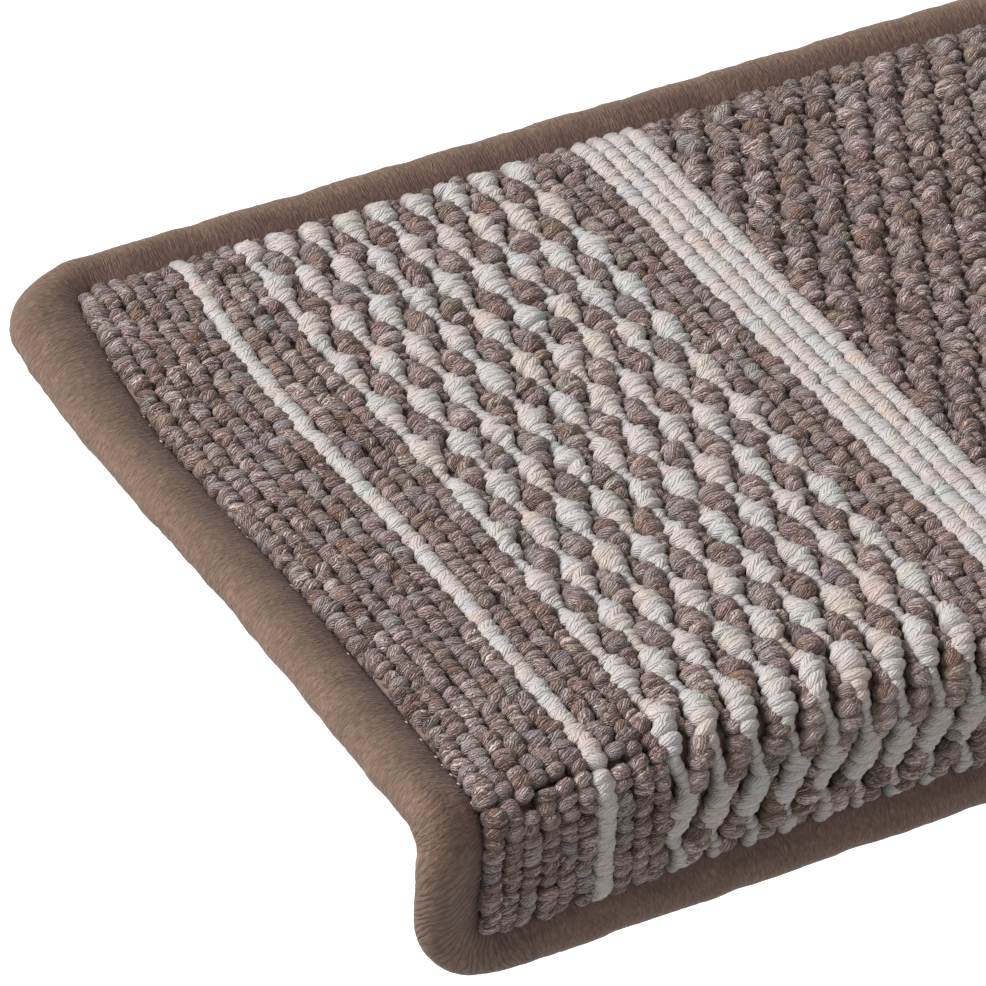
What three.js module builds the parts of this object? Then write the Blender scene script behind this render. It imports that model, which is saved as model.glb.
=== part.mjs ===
// Stair tread mat bent over the front edge of a step: loop pile in rows on a backing, a wound yarn
// binding round the whole edge, a nosing angle inside the bend and two anti-slip strips underneath.
//
// The mat is laid out flat and then bent. Flat places are [x, s, h]: x across the stair from the
// middle, s along the mat from its back edge over the nose to the foot of the lip, and h up from the
// backing's underside. Lengths are millimetres. The bent part has +Z up and its front towards -Y, and
// its origin is the middle of the front anti-slip strip's underside, where the mat lies on the step.

import * as THREE from "three";
import { mergeVertices } from "three/addons/utils/BufferGeometryUtils.js";

// Overall sizes
const treadWidth = 650;
const treadDepth = 236;
const lipDrop = 55;
const cornerRadius = 24;

// Bend over the nose: the radius is the backing's underside, and rows keep their flat spacing at
// spacingHeight above it, so crests open up round the bend.
const bendRadius = 4;
const bendAngle = THREE.MathUtils.degToRad(95);
const spacingHeight = 3.7;
const bendSteps = 4;

// Layers
const backingThickness = 2.5;
const layerGap = 0.3;

// Edge binding: widths over the sides, back and lip, and the round of its roll
const sideBindingWidth = 15.4;
const backBindingWidth = 12.5;
const lipBindingWidth = 14.3;
const rollDepth = 6;
const rollAboveBacking = 6;
const rollBelowBacking = 0.8;
const rollFallToPile = 2.4;
const innerCornerRadius = 7;
const rollSteps = 6;
const cornerSteps = 6;

// Pile rows: heights over the backing, the pitch of the tufting needles and the gap between yarns
const needlePitch = 4.76;
const rowGap = 0.3;
const bubbleHeight = 6.5;
const neckHeight = 4.2;
const plainHeight = 5.6;
const grooveHeight = 3.6;

// Bubbles along a row: one full loop cluster and one thin neck in each period
const bubblePeriod = 18.7;
const firstBubble = 18.9;
const neckWidth = 2.2;
const crownWidth = 3.4;
const closestStations = 1.7;

// Rows in each band of the pattern, counted in from a side edge
const edgeRowCount = 6;
const lineRowCount = 1;
const spacerRowCount = 3;
const lightBubbleRowCount = 9;
const lightBandRowCount = 4;

// Nosing angle
const angleThickness = 1;
const angleTreadLeg = 24;
const angleEndClearance = 8;

// Anti-slip strips
const stripThickness = 1;
const stripWidth = 40;
const stripEndMargin = 25;
const stripMargin = 12;

// Sizes that follow from the ones above
const halfWidth = treadWidth / 2;
const pileBase = backingThickness + layerGap;
const crestHeight = pileBase + bubbleHeight;
const rollTop = backingThickness + rollAboveBacking;
const rollMiddle = (rollTop - rollBelowBacking) / 2;
const rollHalfHeight = (rollTop + rollBelowBacking) / 2;
const backingInset = rollDepth + layerGap;
const flatLength = treadDepth - bendRadius - crestHeight;
const bendLength = bendAngle * (bendRadius + spacingHeight);
const lipStraightDrop = lipDrop - crestHeight - bendRadius + (bendRadius + rollMiddle) * Math.cos(bendAngle);
const sheetLength = flatLength + bendLength + lipStraightDrop / Math.sin(bendAngle);
const pileHalfWidth = halfWidth - sideBindingWidth - layerGap;
const rowCount = 2 * Math.round(pileHalfWidth / needlePitch);
const rowPitch = (2 * pileHalfWidth) / rowCount;
const bubbleWidth = 2 * (rowPitch - rowGap) - neckWidth;
const pileStart = backBindingWidth + layerGap;
const pileEnd = sheetLength - lipBindingWidth - layerGap;
const rearStripCentre = pileStart + stripMargin + stripWidth / 2;
const frontStripCentre = flatLength - angleTreadLeg - stripMargin - stripWidth / 2;

const yarnBrown = new THREE.MeshStandardMaterial({ color: 0x7d6c62, roughness: 0.95, metalness: 0 });
const yarnLight = new THREE.MeshStandardMaterial({ color: 0xd9d0c6, roughness: 0.95, metalness: 0 });
const bindingYarn = new THREE.MeshStandardMaterial({ color: 0x7a6252, roughness: 0.85, metalness: 0 });
const backingFelt = new THREE.MeshStandardMaterial({ color: 0x8d8a84, roughness: 1, metalness: 0 });
const anglePlastic = new THREE.MeshStandardMaterial({ color: 0xe4e2dc, roughness: 0.5, metalness: 0 });
const stripRubber = new THREE.MeshStandardMaterial({ color: 0x2f3032, roughness: 0.9, metalness: 0 });

// Where a flat place comes to lie once the mat is bent.
function bent([x, s, h]) {
  const reach = bendRadius + h;
  const turn = THREE.MathUtils.clamp((s - flatLength) / (bendRadius + spacingHeight), 0, bendAngle);
  const straight = s < flatLength ? s - flatLength : Math.max(0, s - flatLength - bendLength);
  const y = -flatLength - reach * Math.sin(turn) - straight * Math.cos(turn);
  const z = reach * Math.cos(turn) - bendRadius - straight * Math.sin(turn);
  return new THREE.Vector3(x, y, z);
}

// Lengths s at which every piece that crosses the bend has a section, so that all bend alike.
function bendStations() {
  const step = bendLength / bendSteps;
  return Array.from({ length: bendSteps + 1 }, (_, k) => flatLength + k * step);
}

// One end of a loft, closed across the section's own outline.
function endCap(section, firstIndex, atFront) {
  const outline = section.map(([x, , h]) => new THREE.Vector2(x, h));
  return THREE.ShapeUtils.triangulateShape(outline, []).flatMap(([a, b, c]) => {
    const turned = atFront ? [a, b, c] : [a, c, b];
    return turned.map((corner) => firstIndex + corner);
  });
}

// The faces of a triangle list that still have three different corners.
function openFaces(index) {
  const kept = [];
  for (let face = 0; face < index.count; face += 3) {
    const corners = [0, 1, 2].map((corner) => index.getX(face + corner));
    if (new Set(corners).size === 3) kept.push(...corners);
  }
  return kept;
}

// A closed body through sections of flat places. A ring's last section joins its first. Each four-sided
// face folds along its lower diagonal, so that crests stand apart like the loops they are.
function loft(sections, isRing = false) {
  const size = sections[0].length;
  const places = sections.flat();
  const index = [];
  const spans = isRing ? sections.length : sections.length - 1;
  for (let span = 0; span < spans; span++) {
    const near = span * size;
    const far = ((span + 1) % sections.length) * size;
    for (let corner = 0; corner < size; corner++) {
      const next = (corner + 1) % size;
      const [a, b, c, d] = [near + corner, far + corner, far + next, near + next];
      const throughA = places[a][2] + places[c][2] <= places[b][2] + places[d][2];
      index.push(...(throughA ? [a, b, c, a, c, d] : [a, b, d, b, c, d]));
    }
  }
  if (!isRing) {
    index.push(...endCap(sections[0], 0, false));
    index.push(...endCap(sections.at(-1), spans * size, true));
  }
  const loose = new THREE.BufferGeometry().setFromPoints(places.map(bent));
  loose.setIndex(index);
  const geometry = mergeVertices(loose);
  geometry.setIndex(openFaces(geometry.index));
  geometry.computeVertexNormals();
  return geometry;
}

function named(name, geometry, material) {
  const mesh = new THREE.Mesh(geometry, material);
  mesh.name = name;
  return mesh;
}

// A flat bar's section between two half widths and two heights at one place along the mat.
function barSection(s, halfBar, bottom, top) {
  return [
    [-halfBar, s, bottom],
    [-halfBar, s, top],
    [halfBar, s, top],
    [halfBar, s, bottom],
  ];
}

// Backing: a sheet with round corners whose edge sits in the binding's slot.
function makeBacking() {
  const radius = cornerRadius - backingInset;
  const halfSheet = halfWidth - backingInset;
  const corner = Array.from({ length: cornerSteps + 1 }, (_, k) => (k * Math.PI) / 2 / cornerSteps);
  const fromEdge = corner.map((turn) => ({
    inset: backingInset + radius * (1 - Math.sin(turn)),
    halfSpan: halfSheet - radius * (1 - Math.cos(turn)),
  }));
  const back = fromEdge.toReversed().map(({ inset, halfSpan }) => [inset, halfSpan]);
  const middle = bendStations()
    .filter((s) => s < sheetLength - cornerRadius)
    .map((s) => [s, halfSheet]);
  const front = fromEdge.map(({ inset, halfSpan }) => [sheetLength - inset, halfSpan]);
  const sections = [...back, ...middle, ...front].map(([s, halfSpan]) =>
    barSection(s, halfSpan, 0, backingThickness),
  );
  return named("backing", loft(sections), backingFelt);
}

// The binding's section as [distance in from the edge, height]: over and round the roll, under the
// backing, and back along the slot that holds the backing's edge.
function bindingOutline(width) {
  const roll = Array.from({ length: rollSteps + 1 }, (_, k) => {
    const turn = Math.PI / 2 - (k * Math.PI) / rollSteps;
    return [rollDepth * (1 - Math.cos(turn)), rollMiddle + rollHalfHeight * Math.sin(turn)];
  });
  return [
    [width, pileBase],
    [width, rollTop - rollFallToPile],
    ...roll,
    [width, -rollBelowBacking],
    [width, -layerGap],
    [rollDepth, -layerGap],
    [rollDepth, pileBase],
  ];
}

// Pairs of points on the binding's outer and inner edges round one corner of the flat mat.
function bindingCorner(side, atFront, startAngle) {
  const outerS = atFront ? sheetLength - cornerRadius : cornerRadius;
  const innerBack = backBindingWidth + innerCornerRadius;
  const innerFront = sheetLength - lipBindingWidth - innerCornerRadius;
  const innerS = atFront ? innerFront : innerBack;
  const outerX = side * (halfWidth - cornerRadius);
  const innerX = side * (halfWidth - sideBindingWidth - innerCornerRadius);
  return Array.from({ length: cornerSteps + 1 }, (_, k) => {
    const angle = startAngle + (k * Math.PI) / 2 / cornerSteps;
    const [across, along] = [Math.cos(angle), Math.sin(angle)];
    return {
      outer: [outerX + cornerRadius * across, outerS + cornerRadius * along],
      inner: [innerX + innerCornerRadius * across, innerS + innerCornerRadius * along],
    };
  });
}

// Pairs of points where one side of the binding goes over the nose.
function bindingOverNose(side) {
  return bendStations()
    .filter((s) => s < sheetLength - cornerRadius)
    .map((s) => ({ outer: [side * halfWidth, s], inner: [side * (halfWidth - sideBindingWidth), s] }));
}

// Edge binding: one closed ring of wound yarn round the back, sides and lip.
function makeBinding() {
  const quarter = Math.PI / 2;
  const pairs = [
    ...bindingCorner(-1, false, 2 * quarter),
    ...bindingCorner(1, false, 3 * quarter),
    ...bindingOverNose(1),
    ...bindingCorner(1, true, 0),
    ...bindingCorner(-1, true, quarter),
    ...bindingOverNose(-1).toReversed(),
  ];
  const sections = pairs.map(({ outer, inner }) => {
    const width = Math.hypot(inner[0] - outer[0], inner[1] - outer[1]);
    return bindingOutline(width).map(([inward, h]) => {
      const share = inward / width;
      const x = outer[0] + (inner[0] - outer[0]) * share;
      return [x, outer[1] + (inner[1] - outer[1]) * share, h];
    });
  });
  return named("edge_binding", loft(sections, true), bindingYarn);
}

// Nosing angle: a thin bent strip under the backing that keeps the lip turned down.
function makeNosingAngle() {
  const halfAngle = halfWidth - sideBindingWidth - angleEndClearance;
  const stations = [flatLength - angleTreadLeg, ...bendStations(), pileEnd - angleEndClearance];
  const sections = stations.map((s) => barSection(s, halfAngle, -layerGap - angleThickness, -layerGap));
  return named("nosing_angle", loft(sections), anglePlastic);
}

// Anti-slip strip: flat double-sided grip tape across the underside of the tread part.
function makeStrip(name, centre) {
  const length = 2 * (halfWidth - sideBindingWidth - stripEndMargin);
  const strip = named(name, new THREE.BoxGeometry(length, stripWidth, stripThickness), stripRubber);
  strip.position.set(0, -centre, -layerGap - stripThickness / 2);
  return strip;
}

// How far the pile's edge curves away from the back or lip binding at a distance across the mat.
function cornerSetback(x) {
  const fromSide = Math.max(0, pileHalfWidth - Math.abs(x));
  const reach = Math.max(0, innerCornerRadius - fromSide);
  return innerCornerRadius - Math.sqrt(innerCornerRadius ** 2 - reach ** 2);
}

function rowEdge(row) {
  return -pileHalfWidth + row * rowPitch;
}

// Rows of plain loops, as one ridged body from one row up to another.
function makePlainRows(name, firstRow, endRow, material) {
  const left = rowEdge(firstRow) + rowGap / 2;
  const right = rowEdge(endRow) - rowGap / 2;
  const outline = [[left, pileBase]];
  for (let row = firstRow; row < endRow; row++) {
    if (row > firstRow) outline.push([rowEdge(row), pileBase + grooveHeight]);
    outline.push([rowEdge(row + 0.5), pileBase + plainHeight]);
  }
  outline.push([right, pileBase]);
  const sections = [
    outline.map(([x, h]) => [x, pileStart + cornerSetback(x), h]),
    ...bendStations().map((s) => outline.map(([x, h]) => [x, s, h])),
    outline.map(([x, h]) => [x, pileEnd - cornerSetback(x), h]),
  ];
  return named(name, loft(sections), material);
}

// Lengths s at which rows of bubbles have a section: the middle of every bubble and neck, the bend's
// stations and both ends, without those that nearly meet a fixed one.
function bubbleStations() {
  const fixed = [pileStart, ...bendStations(), pileEnd];
  const stations = [...fixed];
  const step = bubblePeriod / 2;
  const first = firstBubble - step * Math.floor((firstBubble - pileStart) / step);
  for (let s = first; s < pileEnd; s += step)
    if (fixed.every((other) => Math.abs(other - s) > closestStations)) stations.push(s);
  return stations.sort((a, b) => a - b);
}

// How full a row is at s, from 0 in the middle of a neck to 1 in the middle of a bubble. Rows of light
// yarn have their first bubble at firstBubble, and rows of dark yarn half a period later.
function fullness(s, yarn) {
  const periods = (s - firstBubble) / bubblePeriod - (yarn === "dark" ? 0.5 : 0);
  return 1 - 2 * Math.abs(periods - Math.round(periods));
}

function pileHeightAt(s, yarn) {
  return pileBase + THREE.MathUtils.lerp(neckHeight, bubbleHeight, fullness(s, yarn));
}

const yarns = { dark: yarnBrown, light: yarnLight };

// One row of bubbles joined by necks. Light bubbles have a flat crown that closes up at the necks, and
// dark ones a single crest. Neighbours of the other yarn fit into each other's necks, and the outermost
// bubbles keep to their own row beside the plain ones, within the block's two limits.
function makeBubbleRow(name, row, yarn, limits) {
  const middle = rowEdge(row + 0.5);
  const sections = bubbleStations().map((s) => {
    const full = fullness(s, yarn);
    const halfBase = THREE.MathUtils.lerp(neckWidth, bubbleWidth, full) / 2;
    const halfCrown = (crownWidth / 2) * full;
    const crown = yarn === "light" ? [middle - halfCrown, middle + halfCrown] : [middle];
    const left = Math.max(middle - halfBase, limits[0]);
    const right = Math.min(middle + halfBase, limits[1]);
    const top = crown.map((x) => [x, s, pileHeightAt(s, yarn)]);
    return [[left, s, pileBase], ...top, [right, s, pileBase]];
  });
  return named(name, loft(sections), yarns[yarn]);
}

// The wide field in the middle: rows of dark bubbles side by side, every other row half a period on.
function makeMiddleRows(name, firstRow, endRow) {
  const sections = bubbleStations().map((s) => {
    const crests = [];
    for (let row = firstRow; row < endRow; row++) {
      const phase = (row - firstRow) % 2 === 0 ? "light" : "dark";
      crests.push([rowEdge(row + 0.5), s, pileHeightAt(s, phase)]);
    }
    return [
      [rowEdge(firstRow) + rowGap / 2, s, pileBase],
      ...crests,
      [rowEdge(endRow) - rowGap / 2, s, pileBase],
    ];
  });
  return named(name, loft(sections), yarnBrown);
}

// The pile of one side, from the side edge in: edge rows, a light line, plain rows, bubble rows in
// turns of light and dark, plain rows again and a light band.
function makeSidePile(side) {
  const pile = new THREE.Group();
  let used = 0;
  const place = (name, count, build) => {
    const first = side === "left" ? used : rowCount - used - count;
    pile.add(build(side + "_" + name, first, first + count));
    used += count;
  };
  const plain = (yarn) => (name, first, end) => makePlainRows(name, first, end, yarns[yarn]);
  place("edge_rows", edgeRowCount, plain("dark"));
  place("light_line", lineRowCount, plain("light"));
  place("outer_rows", spacerRowCount, plain("dark"));
  const blockRows = 2 * lightBubbleRowCount - 1;
  const blockStart = side === "left" ? used : rowCount - used - blockRows;
  const limits = [rowEdge(blockStart) + rowGap / 2, rowEdge(blockStart + blockRows) - rowGap / 2];
  const bubbles = (yarn) => (name, row) => makeBubbleRow(name, row, yarn, limits);
  for (let k = 1; k <= lightBubbleRowCount; k++) {
    place("light_bubbles_" + k, 1, bubbles("light"));
    if (k < lightBubbleRowCount) place("dark_bubbles_" + k, 1, bubbles("dark"));
  }
  place("inner_rows", spacerRowCount, plain("dark"));
  place("light_band", lightBandRowCount, plain("light"));
  return { pile, used };
}

const mat = new THREE.Group();
mat.position.set(0, frontStripCentre, layerGap + stripThickness);
mat.add(makeBacking(), makeBinding(), makeNosingAngle());
mat.add(makeStrip("front_anti_slip_strip", frontStripCentre));
mat.add(makeStrip("rear_anti_slip_strip", rearStripCentre));
const left = makeSidePile("left");
const right = makeSidePile("right");
mat.add(left.pile, right.pile);
mat.add(makeMiddleRows("middle_rows", left.used, rowCount - right.used));

const tread = new THREE.Group();
tread.add(mat);
export default tread;
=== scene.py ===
"""Looks of the stair tread mat: loop pile in rows, a wound yarn binding, and the parts underneath.

Flat places are [x, s, h] in millimetres, as in the part's source: x across from the middle, s along
the mat from its back edge over the nose to the foot of the lip, h up from the backing's underside.
Pieces are made in flat places and then bent into the frame, which is in metres.
"""

import enum
import logging
import math
from dataclasses import dataclass

import bmesh
import bpy
import numpy as np
from mathutils import Euler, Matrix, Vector

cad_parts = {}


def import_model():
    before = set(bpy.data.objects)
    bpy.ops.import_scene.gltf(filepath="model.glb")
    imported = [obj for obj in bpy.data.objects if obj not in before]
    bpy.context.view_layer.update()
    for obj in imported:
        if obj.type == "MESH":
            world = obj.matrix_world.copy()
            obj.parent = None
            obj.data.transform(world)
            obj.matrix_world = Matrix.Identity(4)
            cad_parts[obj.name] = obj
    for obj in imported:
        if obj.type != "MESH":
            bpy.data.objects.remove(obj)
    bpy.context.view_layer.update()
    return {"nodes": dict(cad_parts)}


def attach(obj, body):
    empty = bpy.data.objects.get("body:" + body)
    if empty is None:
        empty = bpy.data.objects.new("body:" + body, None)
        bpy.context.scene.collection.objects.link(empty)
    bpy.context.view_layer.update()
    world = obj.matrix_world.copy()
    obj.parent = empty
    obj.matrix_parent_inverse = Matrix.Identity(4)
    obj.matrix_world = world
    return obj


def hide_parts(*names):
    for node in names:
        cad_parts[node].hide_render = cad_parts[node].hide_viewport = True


LOG = logging.getLogger("scene")
MM = 0.001
BODY = "root"

Triple = tuple[float, float, float]
Colour = Triple
Pair = tuple[tuple[float, float], tuple[float, float]]
WHITE: Colour = (1.0, 1.0, 1.0)


def srgb(red: int, green: int, blue: int) -> Colour:
    """The linear colour of a display colour.

    Args:
        red: level from 0 to 255.
        green: level from 0 to 255.
        blue: level from 0 to 255.

    Returns:
        The colour as the shaders take it.
    """

    def linear(level: int) -> float:
        """One channel, without the display curve."""
        share = level / 255
        return share / 12.92 if share <= 0.04045 else ((share + 0.055) / 1.055) ** 2.4

    return (linear(red), linear(green), linear(blue))


class Yarn(enum.Enum):
    """The two pile yarns, by the record's material slot."""

    BROWN = "pile_brown"
    LIGHT = "pile_light"


class Grade(enum.Enum):
    """How fine a loop's mesh is: segments round its strands, rings from side to side, and roundness."""

    FINE = (10, 6, 0.88)
    SMOOTH = (8, 6, 0.88)
    PLAIN = (8, 6, 0.74)
    COARSE = (8, 5, 0.9)


class RowKind(enum.Enum):
    """What a side's row is: its group's name, yarn and loop mesh, and the CAD nodes of its kind."""

    PLAIN = ("plain_pile", Yarn.BROWN, Grade.PLAIN, ("edge_rows", "outer_rows", "inner_rows"))
    STRIPE = ("light_stripes", Yarn.LIGHT, Grade.PLAIN, ("light_line", "light_band"))
    LIGHT_BUBBLES = (
        "light_bubbles",
        Yarn.LIGHT,
        Grade.SMOOTH,
        tuple(f"light_bubbles_{number}" for number in range(1, 10)),
    )
    DARK_BUBBLES = (
        "dark_bubbles",
        Yarn.BROWN,
        Grade.FINE,
        tuple(f"dark_bubbles_{number}" for number in range(1, 9)),
    )


# The flat mat and its bend


@dataclass(frozen=True)
class MatLayout:
    """Sizes of the flat mat in millimetres and the bend over the nose."""

    half_width: float = 325.0
    sheet_length: float = 276.6396
    flat_length: float = 222.7
    bend_radius: float = 4.0
    bend_angle: float = math.radians(95.0)
    spacing_radius: float = 7.7
    pile_base: float = 2.8
    pile_half_width: float = 309.3
    pile_start: float = 12.8
    pile_end: float = 262.0396
    row_count: int = 130
    inner_corner_radius: float = 7.0
    shift_y: float = 166.7
    shift_z: float = 1.3

    @property
    def bend_length(self) -> float:
        """Length of the flat mat that goes round the bend."""
        return self.bend_angle * self.spacing_radius

    @property
    def row_pitch(self) -> float:
        """Distance from row to row."""
        return 2 * self.pile_half_width / self.row_count

    def row_middle(self, row: float) -> float:
        """Distance across of a row's middle, rows counted from the left."""
        return -self.pile_half_width + (row + 0.5) * self.row_pitch

    def corner_setback(self, x: np.ndarray) -> np.ndarray:
        """How far the pile's edge curves away from the back or lip binding.

        Args:
            x: distances across from the middle.

        Returns:
            Distances along the mat in millimetres.
        """
        from_side = np.maximum(0, self.pile_half_width - np.abs(x))
        reach = np.maximum(0, self.inner_corner_radius - from_side)
        return self.inner_corner_radius - np.sqrt(self.inner_corner_radius**2 - reach**2)

    def turn(self, s: np.ndarray) -> np.ndarray:
        """Angle through which the mat has turned at s."""
        return np.clip((s - self.flat_length) / self.spacing_radius, 0, self.bend_angle)

    def drawn_in(self, across: np.ndarray, s: np.ndarray) -> np.ndarray:
        """How far the ends wander inwards, and the pile's edge with its wide round corner at the back.

        Args:
            across: distances across from the middle.
            s: places along the mat.

        Returns:
            Distances towards the middle in millimetres.
        """
        edge = np.interp(s, (0, 15, 30, 55, 80, 105, 140, 280), (1.5, 1.5, 0.2, -0.9, -0.8, 0, 1.0, 0.8))
        corner = np.interp(s, (0, 20, 32, 50, 75), (4.2, 4.2, 3.4, 1.8, 0))
        from_field = np.clip((across - 250) / 59, 0, 1)
        to_edge = np.clip((self.half_width - across) / 15.7, 0, 1)
        return edge * from_field + corner * np.minimum(from_field, to_edge)

    def bend(self, flat: np.ndarray) -> np.ndarray:
        """Where flat places come to lie.

        Args:
            flat: places [x, s, h] in millimetres, one in each line.

        Returns:
            The same places in the frame, in metres.
        """
        x, s, h = flat[:, 0], flat[:, 1], flat[:, 2]
        x = x - np.sign(x) * self.drawn_in(np.abs(x), s)
        reach = self.bend_radius + h
        turn = self.turn(s)
        past = np.maximum(0, s - self.flat_length - self.bend_length)
        straight = np.where(s < self.flat_length, s - self.flat_length, past)
        y = -self.flat_length - reach * np.sin(turn) - straight * np.cos(turn)
        z = reach * np.cos(turn) - self.bend_radius - straight * np.sin(turn)
        return np.column_stack([x, y + self.shift_y, z + self.shift_z]) * MM

    def opening(self, s: np.ndarray) -> np.ndarray:
        """How much the pile opens up at s: 0 on the flat parts, 1 round the bend."""
        middle = self.flat_length + self.bend_length / 2
        return np.clip(1.6 - np.abs(s - middle) / (self.bend_length / 2), 0, 1)

    def crest_walk(self, start: float, end: float, pitch: float, crest: float) -> np.ndarray:
        """Places s that are evenly spaced along the crests, which open up round the bend.

        Args:
            start: first s.
            end: last s.
            pitch: spacing along the crests.
            crest: height of the crests over the backing's underside.

        Returns:
            The places s in order.
        """
        along = np.linspace(start, end, 4000)
        inside = (along > self.flat_length) & (along < self.flat_length + self.bend_length)
        stretch = np.where(inside, (self.bend_radius + crest) / self.spacing_radius, 1.0)
        walked = np.concatenate([[0], np.cumsum(np.diff(along) * stretch[1:])])
        count = max(1, round(walked[-1] / pitch))
        wanted = (np.arange(count) + 0.5) * walked[-1] / count
        return np.interp(wanted, walked, along)


LAYOUT = MatLayout()

# Radius that turns an angle on a loop into a length, and how far apart loops lie in the noise
LOOP_RADIUS = 2.6
LOOP_APART = 61.0


# Materials


@dataclass
class NodeTree:
    """The nodes of a material or of the world, added one at a time and linked as they come."""

    owner: bpy.types.Material | bpy.types.World

    @classmethod
    def blank(cls, name: str) -> "NodeTree":
        """A new material that holds only its output and its surface shader.

        Args:
            name: the material's name.

        Returns:
            The material's nodes.
        """
        material = bpy.data.materials.new(name)
        material.use_nodes = True
        return cls(material)

    @property
    def surface(self) -> bpy.types.Node:
        """The surface shader."""
        return self.owner.node_tree.nodes["Principled BSDF"]

    def add(self, kind: str, inputs: dict | None = None, **settings: object) -> bpy.types.Node:
        """Adds a node.

        Args:
            kind: the node's type.
            inputs: for each input, by name or place, a value or the socket it comes from.
            settings: the node's own settings.

        Returns:
            The new node.
        """
        node = self.owner.node_tree.nodes.new(kind)
        for name, value in settings.items():
            setattr(node, name, value)
        for key, value in (inputs or {}).items():
            self.feed(node.inputs[key], value)
        return node

    def feed(self, socket: bpy.types.NodeSocket, value: object) -> None:
        """Links a socket, or sets its value.

        Args:
            socket: the socket.
            value: the socket that it is linked to, or the number, vector or colour that it is set to.
        """
        if isinstance(value, bpy.types.NodeSocket):
            self.owner.node_tree.links.new(value, socket)
        elif isinstance(value, tuple) and len(value) == 3 and len(socket.default_value) == 4:
            socket.default_value = (*value, 1.0)
        else:
            socket.default_value = value

    def math(self, operation: str, *values: object) -> bpy.types.NodeSocket:
        """The result of one sum."""
        inputs = dict(enumerate(values))
        return self.add("ShaderNodeMath", inputs, operation=operation).outputs[0]

    def times(self, first: object, second: object) -> bpy.types.NodeSocket:
        """Two numbers multiplied."""
        return self.math("MULTIPLY", first, second)

    def grown(self, value: object, amount: object, base: object) -> bpy.types.NodeSocket:
        """The base plus the amount times the value."""
        return self.math("MULTIPLY_ADD", value, amount, base)

    def swing(self, value: object, amount: object, base: object) -> bpy.types.NodeSocket:
        """The base plus the amount times how far the value is over one half."""
        return self.grown(self.math("SUBTRACT", value, 0.5), amount, base)

    def vector(self, x: object, y: object, z: object) -> bpy.types.NodeSocket:
        """Three numbers as one vector."""
        return self.add("ShaderNodeCombineXYZ", {0: x, 1: y, 2: z}).outputs[0]

    def parts(self, vector: bpy.types.NodeSocket) -> tuple[bpy.types.NodeSocket, ...]:
        """A vector's three numbers."""
        return tuple(self.add("ShaderNodeSeparateXYZ", {0: vector}).outputs)

    def attribute(self, name: str, output: str = "Vector") -> bpy.types.NodeSocket:
        """What a mesh's attribute holds."""
        return self.add("ShaderNodeAttribute", attribute_name=name).outputs[output]

    def noise(self, vector: object, scale: float, detail: float = 2.0) -> bpy.types.NodeSocket:
        """Soft noise round one half."""
        inputs = {"Vector": vector, "Scale": scale, "Detail": detail}
        return self.add("ShaderNodeTexNoise", inputs).outputs[0]

    def chance(self, vector: object) -> bpy.types.NodeSocket:
        """A number from 0 to 1 that differs with every vector."""
        return self.add("ShaderNodeTexWhiteNoise", {"Vector": vector}).outputs["Value"]

    def spread(
        self, value: object, low: float, high: float, to_low: float, to_high: float
    ) -> bpy.types.NodeSocket:
        """A value taken from one range to another and held inside it."""
        inputs = {0: value, 1: low, 2: high, 3: to_low, 4: to_high}
        return self.add("ShaderNodeMapRange", inputs).outputs[0]

    def ramp(self, value: object, stops: tuple[tuple[float, Colour], ...]) -> bpy.types.NodeSocket:
        """A colour that goes through the stops as the value grows.

        Args:
            value: the value.
            stops: places from 0 to 1, each with its colour.

        Returns:
            The colour.
        """
        node = self.add("ShaderNodeValToRGB", {0: value})
        elements = node.color_ramp.elements
        while len(elements) < len(stops):
            elements.new(0.5)
        for element, (place, colour) in zip(elements, stops):
            element.position = place
            element.color = (*colour, 1.0)
        return node.outputs[0]

    def mix(
        self, share: object, first: object, second: object, blend: str = "MIX"
    ) -> bpy.types.NodeSocket:
        """Two colours mixed; inputs 0, 6 and 7 and output 2 are the ones for colours."""
        inputs = {0: share, 6: first, 7: second}
        return self.add("ShaderNodeMix", inputs, data_type="RGBA", blend_type=blend).outputs[2]

    def scaled(self, colour: object, level: object) -> bpy.types.NodeSocket:
        """A colour made darker or lighter by a number."""
        return self.mix(1.0, colour, self.vector(level, level, level), "MULTIPLY")

    def round_strand(self, turns: bpy.types.NodeSocket) -> bpy.types.NodeSocket:
        """The height over a strand that lies beside others: 0 in the grooves, 1 on top."""
        part = self.math("FRACT", turns)
        return self.times(self.times(part, self.math("SUBTRACT", 1.0, part)), 4.0)

    def seen_outright(self) -> bpy.types.NodeSocket:
        """Tells what the camera sees, in the open, in a reflection or through glass.

        Returns:
            1 for such rays and 0 for the others.
        """
        path = self.add("ShaderNodeLightPath").outputs
        rays = self.math("MAXIMUM", path["Is Camera Ray"], path["Is Glossy Ray"])
        return self.math("MAXIMUM", rays, path["Is Transmission Ray"])

    def bump(self, height: object, depth: float, strength: float = 1.0) -> None:
        """Gives the surface a relief that is depth metres for a height of 1."""
        node = self.add("ShaderNodeBump", {"Height": height, "Strength": strength, "Distance": depth})
        self.feed(self.surface.inputs["Normal"], node.outputs[0])

    def settle(self, **values: object) -> bpy.types.Material:
        """Sets the surface's own sockets.

        Args:
            values: for each socket, its name in small letters with _ for a space, and its value.

        Returns:
            The material.
        """
        for name, value in values.items():
            self.feed(self.surface.inputs[name.replace("_", " ").title().replace("Ior", "IOR")], value)
        return self.owner


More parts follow.
